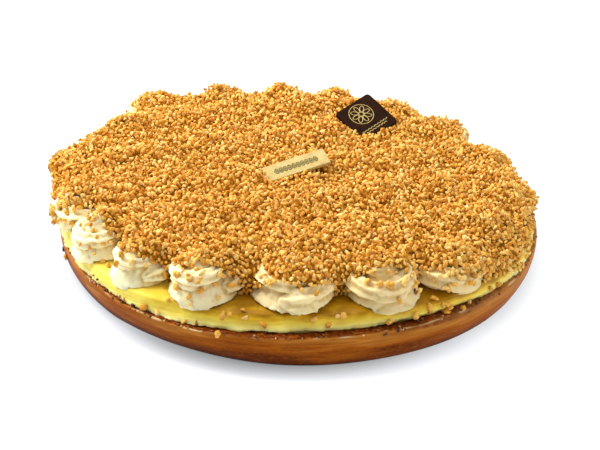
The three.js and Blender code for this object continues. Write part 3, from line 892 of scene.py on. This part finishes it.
CORE_DEPTH = 1.4 * MM
SKIRT_THICK = 2.5 * MM
OVERHANG = -0.2
heap = merged("nut_layer")
heap_tree = BVHTree.FromBMesh(heap)


def inset(vertex):
    """How far the core draws in here: less on the underside of the heap's thin skirt."""
    if vertex.normal.z > OVERHANG:
        return CORE_DEPTH
    across = heap_tree.ray_cast(vertex.co - 0.05 * MM * vertex.normal, -vertex.normal)[3] or 0
    return min(CORE_DEPTH, max(0, across - SKIRT_THICK))


for vertex, depth in [(vertex, inset(vertex)) for vertex in heap.verts]:
    vertex.co -= depth * vertex.normal
# The core, whose darker brown is painted shade between the grains.
core = link_mesh("nut_core", bumpy(heap, "nut_core", 1, 0.5, 2.2))

OPEN_FOR = 6 * MM
STEEP, UNDERSIDE = 0.2, -0.92
bed = merged("nut_layer")
solids = tree_of(frame["nodes"]["nut_layer"], *[frame["nodes"][name] for name in ROSETTE_NODES])
hidden = []
for face in bed.faces:
    spot = face.calc_center_median()
    facing = (face.normal + Vector((0, 0, 0.4))).normalized()
    shut = solids.ray_cast(spot + 0.2 * MM * face.normal, facing, OPEN_FOR)[0] is not None
    steep = face.normal.z < STEEP
    if face.normal.z < UNDERSIDE or (steep and shut) or under_plaque(spot, -0.5 * MM):
        hidden.append(face)
bmesh.ops.delete(bed, geom=hidden, context="FACES")
bed_mesh = bumpy(bed, "nut_bed", 2, 0.9, 4.5)
print("bed faces:", len(bed_mesh.polygons))

# %% Grain shapes
GRAIN = 4.5 * MM
CORNERS = 13


def grain(squash, seed):
    """One nut chunk: the hull of a few points on a squashed ball, so it has flat broken faces."""
    draw = np.random.default_rng(seed)
    hull = bmesh.new()
    for _ in range(CORNERS):
        spot = draw.normal(size=3)
        spot *= draw.uniform(0.86, 1.0) / np.linalg.norm(spot)
        hull.verts.new(Vector(spot * squash) * GRAIN / 2)
    bmesh.ops.convex_hull(hull, input=hull.verts)
    inner = [vertex for vertex in hull.verts if not vertex.link_faces]
    bmesh.ops.delete(hull, geom=inner, context="VERTS")
    bmesh.ops.recalc_face_normals(hull, faces=hull.faces)
    mesh = bpy.data.meshes.new("grain")
    hull.to_mesh(mesh)
    hull.free()
    mesh.materials.append(None)
    return mesh


SQUASHES = [(1, 0.85, 0.7), (1.2, 0.8, 0.6), (0.9, 0.9, 0.8), (1.1, 1.0, 0.5), (1.3, 0.7, 0.7), (1, 1, 0.65)]
grain_box = bpy.data.collections.new("grain_shapes")
for index, squash in enumerate(SQUASHES * 2):
    shape = bpy.data.objects.new(f"grain_{index:02}", grain(squash, 100 + index))
    grain_box.objects.link(shape)

# %% Nut finishes
nut = Finish(
    "caramelised_nut", Roughness=0.55, Specular_IOR_Level=0.1, Subsurface_Weight=0.15,
    Subsurface_Scale=0.0015,
)
tone = nut.math("ADD", nut.value("tone"), nut.spread(nut.noise(0.0016, 3), 0.3, 0.7, -0.2, 0.2))
nut.set("Base Color", nut.ramp(
    tone, (0.0, "#c4862c"), (0.3, "#e6ab47"), (0.6, "#eeba5a"), (0.9, "#f5ca72"), (1.0, "#f8d487"),
))
nut.bump(nut.noise(0.0007, 3), 0.0001, 0.6)
# Painted shade: the core is a darker brown than the grains, for the shade in the gaps between them.
core_shade_finish = Finish("nut_core", Roughness=0.6, Specular_IOR_Level=0.03)
core_shade_finish.set("Base Color", core_shade_finish.ramp(
    core_shade_finish.noise(0.0025, 4), (0.35, "#8c580e"), (0.5, "#aa721c"), (0.65, "#c88e30"),
))
core_shade_finish.bump(core_shade_finish.noise(0.0015, 4), 0.0006, 0.8)

# %% Scatter tree
KINDS = 4
PLENTY = 1e7
scatter, given, scattered = new_tree(
    "scattered_nuts",
    ("Spacing", "Float", 2.2 * MM), ("Grains", "Collection", grain_box), ("Kind", "Int", 0),
    ("Smallest", "Float", 0.7), ("Largest", "Float", 1.25), ("Sunk", "Float", -0.4 * MM),
    ("Raised", "Float", 0.7 * MM), ("Seed", "Int", 1), ("Material", "Material", None),
)
points = add(scatter, "GeometryNodeDistributePointsOnFaces", {
    "Mesh": given["Geometry"], "Distance Min": given["Spacing"], "Density Max": PLENTY, "Seed": given["Seed"],
}, distribute_method="POISSON")


def chance(tree, kind, low, high, seed):
    """A random value for each point of a tree."""
    return switched_on(add(tree, "FunctionNodeRandomValue", {
        "Min": low, "Max": high, "Seed": seed,
    }, data_type=kind).outputs, "Value")


def put_grains(tree, places, given, selection):
    """Puts a grain on each chosen point, turned, sized and toned by chance, as real meshes."""
    shapes = add(tree, "GeometryNodeCollectionInfo", {
        "Collection": given["Grains"], "Separate Children": True, "Reset Children": True,
    })
    grains = add(tree, "GeometryNodeInstanceOnPoints", {
        "Points": places, "Selection": selection, "Instance": shapes,
        "Pick Instance": True, "Instance Index": chance(tree, "INT", 0, len(grain_box.objects) - 1, 5),
        "Rotation": chance(tree, "FLOAT_VECTOR", (0, 0, 0), (math.tau, math.tau, math.tau), 6),
        "Scale": chance(tree, "FLOAT", given["Smallest"], given["Largest"], 7),
    })
    toned = add(tree, "GeometryNodeStoreNamedAttribute", {
        "Geometry": grains, "Name": "tone", "Value": chance(tree, "FLOAT", 0.0, 1.0, 8),
    }, data_type="FLOAT", domain="INSTANCE")
    real = add(tree, "GeometryNodeRealizeInstances", {0: toned})
    return add(tree, "GeometryNodeSetMaterial", {"Geometry": real, "Material": given["Material"]})


lift = add(scatter, "ShaderNodeVectorMath", {
    0: points.outputs["Normal"],
    "Scale": chance(scatter, "FLOAT", given["Sunk"], given["Raised"], 3),
}, operation="SCALE")
placed = add(scatter, "GeometryNodeSetPosition", {"Geometry": points, "Offset": lift})
mine = add(scatter, "FunctionNodeCompare", {
    "A": chance(scatter, "INT", 0, KINDS - 1, 4), "B": given["Kind"],
}, data_type="INT", operation="EQUAL")
chosen = put_grains(scatter, placed.outputs[0], given, mine.outputs[0])
scatter.links.new(chosen.outputs[0], scattered.inputs[0])

# %% Scatter the nuts
SMALLEST_GRAIN, LARGEST_GRAIN = 0.52, 1.04


def scatter_nuts(name, kind, spacing, sunk, raised, seed):
    """Grains of one kind over the bed, spacing apart and from sunk to raised above it, in mm."""
    item = grown(
        scatter, name, bed_mesh, smooth=kind == 0, Spacing=spacing * MM, Grains=grain_box, Kind=kind,
        Smallest=SMALLEST_GRAIN, Largest=LARGEST_GRAIN, Sunk=sunk * MM, Raised=raised * MM, Seed=seed,
        Material=nut.material,
    )
    finished(item, nut, "caramelised_nuts")


finished(core, core_shade_finish, "caramelised_nuts", "nut_layer")
for kind in range(KINDS):
    scatter_nuts(f"nut_grains_{kind + 1}", kind, 2.3, -0.5, 0.8, 7)
scatter_nuts("nut_grains_loose", 0, 4.2, 1.3, 2.4, 31)

# %% [markdown]
# ### Stray grains and crumbs
# Grains that rolled off the heap stick to the whipped cream, thickly near the nuts and thinly
# below, and some lie on the yellow band and on the lip. The ones that show in front are placed
# one by one: a pixel of the photo's frame is sent through the camera until it meets the tart.
# The rest are rays from the side and from above, drawn by chance with a fixed seed. Each place
# is one loose point, and a second tree puts a grain on every point.

# %% Finding the places
STRAY_PIXELS = [
    (117, 263), (163, 274), (94, 254), (189, 297), (178, 287), (190, 303), (202, 274), (200, 290),
    (168, 300), (145, 307), (178, 276), (218, 298), (158, 315), (184, 321), (246, 318), (263, 324),
    (131, 261), (119, 247), (122, 255), (443, 304), (448, 307), (444, 311), (447, 314), (343, 315),
    (314, 319), (338, 316), (328, 325), (389, 321), (415, 315), (429, 307), (446, 304), (469, 304),
    (218, 335), (446, 313), (463, 309), (67, 257), (104, 262), (152, 262), (176, 276), (214, 283),
    (222, 276), (232, 285), (302, 290), (316, 295), (270, 283), (366, 268), (374, 262), (391, 286),
    (398, 300), (380, 284), (404, 281), (417, 292), (441, 268), (455, 283), (452, 276), (478, 276),
    (69, 203), (73, 201), (77, 204), (81, 202), (85, 205), (88, 203), (91, 206), (75, 206), (80, 206),
    (71, 206), (90, 201), (78, 199), (84, 199), (67, 199), (73, 198), (88, 198), (86, 207), (82, 204),
]
sticky = [*rosettes, filling, pastry_case]


def first_hit(start, ray):
    """Where a ray first meets the cream or the crust: the point, the normal and the piece."""
    hits = []
    for item in sticky:
        found, spot, normal, _ = item.ray_cast(start, ray)
        if found:
            hits.append(((spot - start).length, spot, normal, item))
    return min(hits, key=lambda hit: hit[0])[1:] if hits else None


def through_pixel(pixel):
    """Where the camera sees this pixel of the photo's frame."""
    across = (pixel[0] - AXIS_PIXEL[0]) / FOCAL_PIXELS
    up = (AXIS_PIXEL[1] - pixel[1]) / FOCAL_PIXELS
    return first_hit(camera.location, (camera.rotation_quaternion @ Vector((across, up, -1))).normalized())


def from_above(side, out, height):
    """What lies straight below this height, at one azimuth and one distance from the middle."""
    return first_hit(middle + Vector((*(directions[side] * out), height)), Vector((0, 0, -1)))


def rest_on(hit, lift):
    """A place just above a surface, so that a grain sits on it and sinks in a little."""
    spot, normal, _ = hit
    return spot + lift * normal


SIT = 0.9 * MM
hits = [through_pixel(pixel) for pixel in STRAY_PIXELS]
by_eye = [rest_on(hit, SIT) for hit in hits if hit]
print("strays placed by eye:", len(by_eye), "of", len(STRAY_PIXELS))

# %% Strays by chance
# A flank is tried this often, and the more often a place on it is refused the lower it lies.
# Nuts cover the rosettes at the right, and a few others more or less than usual.
FLANK_TRIES = 90
FLANK_FALL = 2.6
BAND_TRIES = 110
SLIDE_TRIES = 430
BURIED_SPAN = (-39, 24)
BURIED_TRIES = 650
BURIED_FALL = 0.35
BAND_WIDTH = 16
SPRINKLED = {
    "cream_rosette_15": (330, 0.9), "cream_rosette_16": (110, 2.6), "cream_rosette_03": (360, 1.1),
    "cream_rosette_04": (330, 0.7),
}
chances = np.random.default_rng(41)
strays = []
for item in rosettes:
    corners = read(item.data, "co")
    low, high = Vector(corners.min(axis=0)), Vector(corners.max(axis=0))
    axis = (low + high) / 2
    facing = math.atan2(axis.y - middle.y, axis.x - middle.x)
    buried = BURIED_SPAN[0] < math.degrees(facing) < BURIED_SPAN[1]
    usual = (BURIED_TRIES, BURIED_FALL) if buried else (FLANK_TRIES, FLANK_FALL)
    tries, fall = SPRINKLED.get(item.name.replace("piped", "cream"), usual)
    for _ in range(tries):
        turn = facing + chances.normal(0, 0.9)
        share = chances.uniform(0.1, 0.95)
        if chances.uniform() > share ** fall:
            continue
        ray = Vector((-math.cos(turn), -math.sin(turn), -0.15)).normalized()
        start = Vector((axis.x, axis.y, low.z + share * (high.z - low.z))) - 0.05 * ray
        hit = first_hit(start, ray)
        if hit and hit[2] is item:
            strays.append(rest_on(hit, SIT))
on_flanks = len(strays)
slid_from, slid_to = [round((1 + degrees / 180) * AROUND / 2) for degrees in BURIED_SPAN]
for tries, first, last in ((BAND_TRIES, 0, AROUND), (SLIDE_TRIES, slid_from, slid_to)):
    for _ in range(tries):
        side = int(chances.integers(first, last))
        out = rim[side] - chances.uniform(1, BAND_WIDTH) * MM
        hit = from_above(side, out, 0.08)
        if hit and hit[2] is filling:
            strays.append(rest_on(hit, SIT))
print("strays:", on_flanks, "on the flanks,", len(strays) - on_flanks, "on the band")

# %% Crumb places
LIP_CRUMBS = 380
CRUMB_SIT, BIG_CRUMB_SIT = 0.2 * MM, 0.5 * MM
crumbs_at = []
for _ in range(LIP_CRUMBS):
    side = int(chances.integers(AROUND))
    out = rim[side] - abs(chances.normal(0.4, 1.6)) * MM
    hit = from_above(side, out, 0.05)
    if hit and hit[2] is pastry_case:
        crumbs_at.append(rest_on(hit, CRUMB_SIT))
CRUMB_PIXELS = [
    (66, 256), (64, 249), (94, 275), (98, 279), (107, 291), (104, 290), (120, 297), (122, 302),
    (126, 303), (133, 306), (157, 316), (178, 325), (197, 323), (263, 333), (266, 333), (317, 332),
    (415, 293), (414, 290), (476, 304), (480, 300), (385, 334), (398, 330), (418, 322), (422, 320),
]
big_crumbs = [rest_on(hit, BIG_CRUMB_SIT) for hit in map(through_pixel, CRUMB_PIXELS) if hit]
print("crumbs:", len(crumbs_at), "by chance,", len(big_crumbs), "by eye")

# %% Place tree
place_tree, where, laid_out = new_tree(
    "grains_on_places",
    ("Grains", "Collection", grain_box), ("Smallest", "Float", 0.7), ("Largest", "Float", 1.25),
    ("Material", "Material", None),
)
spots = add(place_tree, "GeometryNodeMeshToPoints", {0: where["Geometry"]})
strewn = put_grains(place_tree, spots.outputs[0], where, True)
place_tree.links.new(strewn.outputs[0], laid_out.inputs[0])


def strew(name, places, finish, slot, smallest, largest):
    """A grain of some size between smallest and largest on each of these places."""
    dots = bpy.data.meshes.new(name + "_places")
    dots.from_pydata(places, [], [])
    item = grown(
        place_tree, name, dots, Grains=grain_box, Smallest=smallest, Largest=largest,
        Material=finish.material,
    )
    finished(item, finish, slot)


def crumbly(name, *stops):
    """The dull finish of crumbs, each of its own brown."""
    finish = Finish(name, Roughness=0.7)
    finish.set("Base Color", finish.ramp(finish.value("tone"), *stops))
    finish.bump(finish.noise(0.0006, 3), 0.0001, 0.6)
    return finish


strew("placed_grains", by_eye, nut, "caramelised_nuts", 0.85, 1.3)
strew("stray_grains", strays, nut, "caramelised_nuts", 0.6, 1.1)
crumb = crumbly("pastry_crumb", (0.0, "#4a1f06"), (0.5, "#7d4312"), (0.8, "#b27a38"), (1.0, "#dcb27a"))
strew("rim_crumbs", crumbs_at, crumb, "pastry", 0.12, 0.42)
toasted = crumbly("toasted_crumb", (0.0, "#381806"), (0.6, "#63300e"), (1.0, "#a06a28"))
strew("dark_crumbs", big_crumbs, toasted, "pastry", 0.4, 0.75)

# %% [markdown]
# ## The chocolate plaques
# Two thin tablets of moulded chocolate, pressed into the nuts at a slant: a long pale one and
# a square dark one. Moulded edges are soft, so each is a stack of rounded outlines whose top
# rings draw in. A printed ornament, amber on the pale one and gold on the dark one, is a raised
# line that follows a path, which is a job for a curve swept by Geometry Nodes and pressed flat.

# %% Tablets
CORNER_STEPS = 8
SIDE_STEPS = 20


def rounded(size, corner):
    """The outline of a tablet round its middle: four round corners with straight sides between."""
    outline = []
    for quarter in range(4):
        turns = math.pi / 2 * (quarter + np.linspace(0, 1, CORNER_STEPS))
        signs = np.sign([math.cos(turns.mean()), math.sin(turns.mean())])
        hub = signs * (np.array(size[:2]) / 2 - corner)
        outline += list(hub + corner * np.stack([np.cos(turns), np.sin(turns)], axis=1))
    corners = [outline[k:k + CORNER_STEPS] for k in range(0, len(outline), CORNER_STEPS)]
    full = []
    for arc, following in zip(corners, corners[1:] + corners[:1]):
        full += arc + list(np.linspace(arc[-1], following[0], SIDE_STEPS + 1)[1:-1])
    return np.array(full)


def tablet(name, node, corner, finish, slot):
    """A moulded tablet in the place of a measured one."""
    matrix, size = lies[node]
    outline = rounded(size, corner)
    thick = size.z / MM
    profile = [(5, 0), (1, 0), (0.3, 0.05), (0.05, 0.25), (0, 0.6), (0, thick - 0.6), (0.06, thick - 0.3)]
    profile += [(0.2, thick - 0.12), (0.42, thick - 0.02), (0.9, thick), (2, thick), (4, thick), (6, thick)]
    half = np.array([size.x, size.y]) / 2
    rings = []
    for inset, height in profile:
        flat = outline * (half - inset * MM) / half
        rings.append(np.column_stack([flat, np.full(len(flat), height * MM - size.z / 2)]))
    item = round_skin(name, np.array(rings))
    points = read(item.data, "co")
    warp = 0.12 * ripple(points, 14 * MM, 50) + 0.03 * ripple(points, 2 * MM, 51)
    points[:, 2] += warp * MM - 0.1 * MM
    write(item.data, points)
    item.data.transform(matrix)
    finished(item, finish, slot, node)


pale = Finish(
    "white_chocolate", Roughness=0.4, Specular_IOR_Level=0.3, Subsurface_Weight=0.3, Subsurface_Scale=0.002,
)
pale.two_tone(0.006, 3, "#b69f60", "#c8b372")
bitter = Finish("dark_chocolate", Roughness=0.38, Specular_IOR_Level=0.03)
bitter.two_tone(0.005, 3, "#200e05", "#2f180a")
for chocolate in (pale, bitter):
    chocolate.bump(chocolate.noise(0.0015, 3), 0.00005, 0.5)
tablet("white_tablet", PLAQUES[0], 1.2 * MM, pale, "white_chocolate")
tablet("dark_tablet", PLAQUES[1], 2.2 * MM, bitter, "dark_chocolate")

# %% Printed line tree
line_tree, drawn, printed = new_tree(
    "printed_line",
    ("Width", "Float", 0.45 * MM), ("Flatness", "Float", 0.4), ("Material", "Material", None),
)
path = add(line_tree, "GeometryNodeMeshToCurve", {0: drawn["Geometry"]})
nib = add(line_tree, "GeometryNodeCurvePrimitiveCircle", {
    "Resolution": 8, "Radius": calc(line_tree, "MULTIPLY", drawn["Width"], 0.5),
})
stroke = add(line_tree, "GeometryNodeCurveToMesh", {
    "Curve": path, "Profile Curve": nib, "Fill Caps": True,
})
pressed = add(line_tree, "GeometryNodeTransform", {
    "Geometry": stroke,
    "Scale": add(line_tree, "ShaderNodeCombineXYZ", {"X": 1.0, "Y": 1.0, "Z": drawn["Flatness"]}),
})
inked = add(line_tree, "GeometryNodeSetMaterial", {
    "Geometry": add(line_tree, "GeometryNodeRealizeInstances", {0: pressed}),
    "Material": drawn["Material"],
})
line_tree.links.new(inked.outputs[0], printed.inputs[0])


def print_on(name, node, strokes, width, finish, slot):
    """Prints lines on a plaque. Each stroke is a list of (x, y) in mm from its middle."""
    matrix, size = lies[node]
    points = []
    edges = []
    for stroke in strokes:
        first = len(points)
        points += [(x * MM, y * MM, 0) for x, y in stroke]
        edges += [(k, k + 1) for k in range(first, len(points) - 1)]
    lines = bpy.data.meshes.new(name + "_path")
    lines.from_pydata(points, edges, [])
    item = grown(line_tree, name, lines, Width=width * MM, Flatness=0.4, Material=finish.material)
    item.data.transform(matrix @ Matrix.Translation((0, 0, size.z / 2 - 0.05 * MM)))
    finished(item, finish, slot)


def loop(x, y, long, wide=None, turn=0.0, steps=28):
    """A closed round or oval stroke."""
    wide = wide or long
    around = np.linspace(0, math.tau, steps + 1)
    along, across = long * np.cos(around), wide * np.sin(around)
    return list(zip(
        x + along * math.cos(turn) - across * math.sin(turn),
        y + along * math.sin(turn) + across * math.cos(turn),
    ))


def wavy(x_from, x_to, y, swing, wave, steps=90):
    """A line that swings up and down round a height y."""
    x = np.linspace(x_from, x_to, steps)
    return list(zip(x, y + swing * np.sin((x - x_from) * math.tau / wave)))


# %% Ornaments
gold = Finish("gold_print", Roughness=0.5, Metallic=0.2)
gold.two_tone(0.0012, 2, "#a08a48", "#c9b26a")
amber = Finish("amber_print", Roughness=0.5)
amber.two_tone(0.0012, 2, "#66540c", "#857018")
for ink in (gold, amber):
    ink.bump(ink.noise(0.0008, 2), 0.00003, 0.5)

BRAID = 13
LOOP = 5.2
braid = [wavy(-BRAID, BRAID, -0.3, side * 2.1, LOOP) for side in (1, -1)]
braid += [loop(-BRAID + LOOP * (k + 0.5) / 2, -0.3, 0.45, steps=10) for k in range(10)]
print_on("white_tablet_print", PLAQUES[0], braid, 0.9, amber, "white_chocolate")

PETALS = 8
flower = [loop(-1, 3.7, 1.5), loop(-1, 3.7, 7.6, steps=48)]
for turn in np.arange(PETALS) * math.tau / PETALS:
    flower.append(loop(-1 + 4.2 * math.cos(turn), 3.7 + 4.2 * math.sin(turn), 2.3, 1.25, turn))
flower += [wavy(-10, 10, -8.0, 0.3, 2.4), wavy(-8, 8, -9.8, 0.3, 2.4)]
print_on("dark_tablet_print", PLAQUES[1], flower, 0.5, gold, "dark_chocolate")
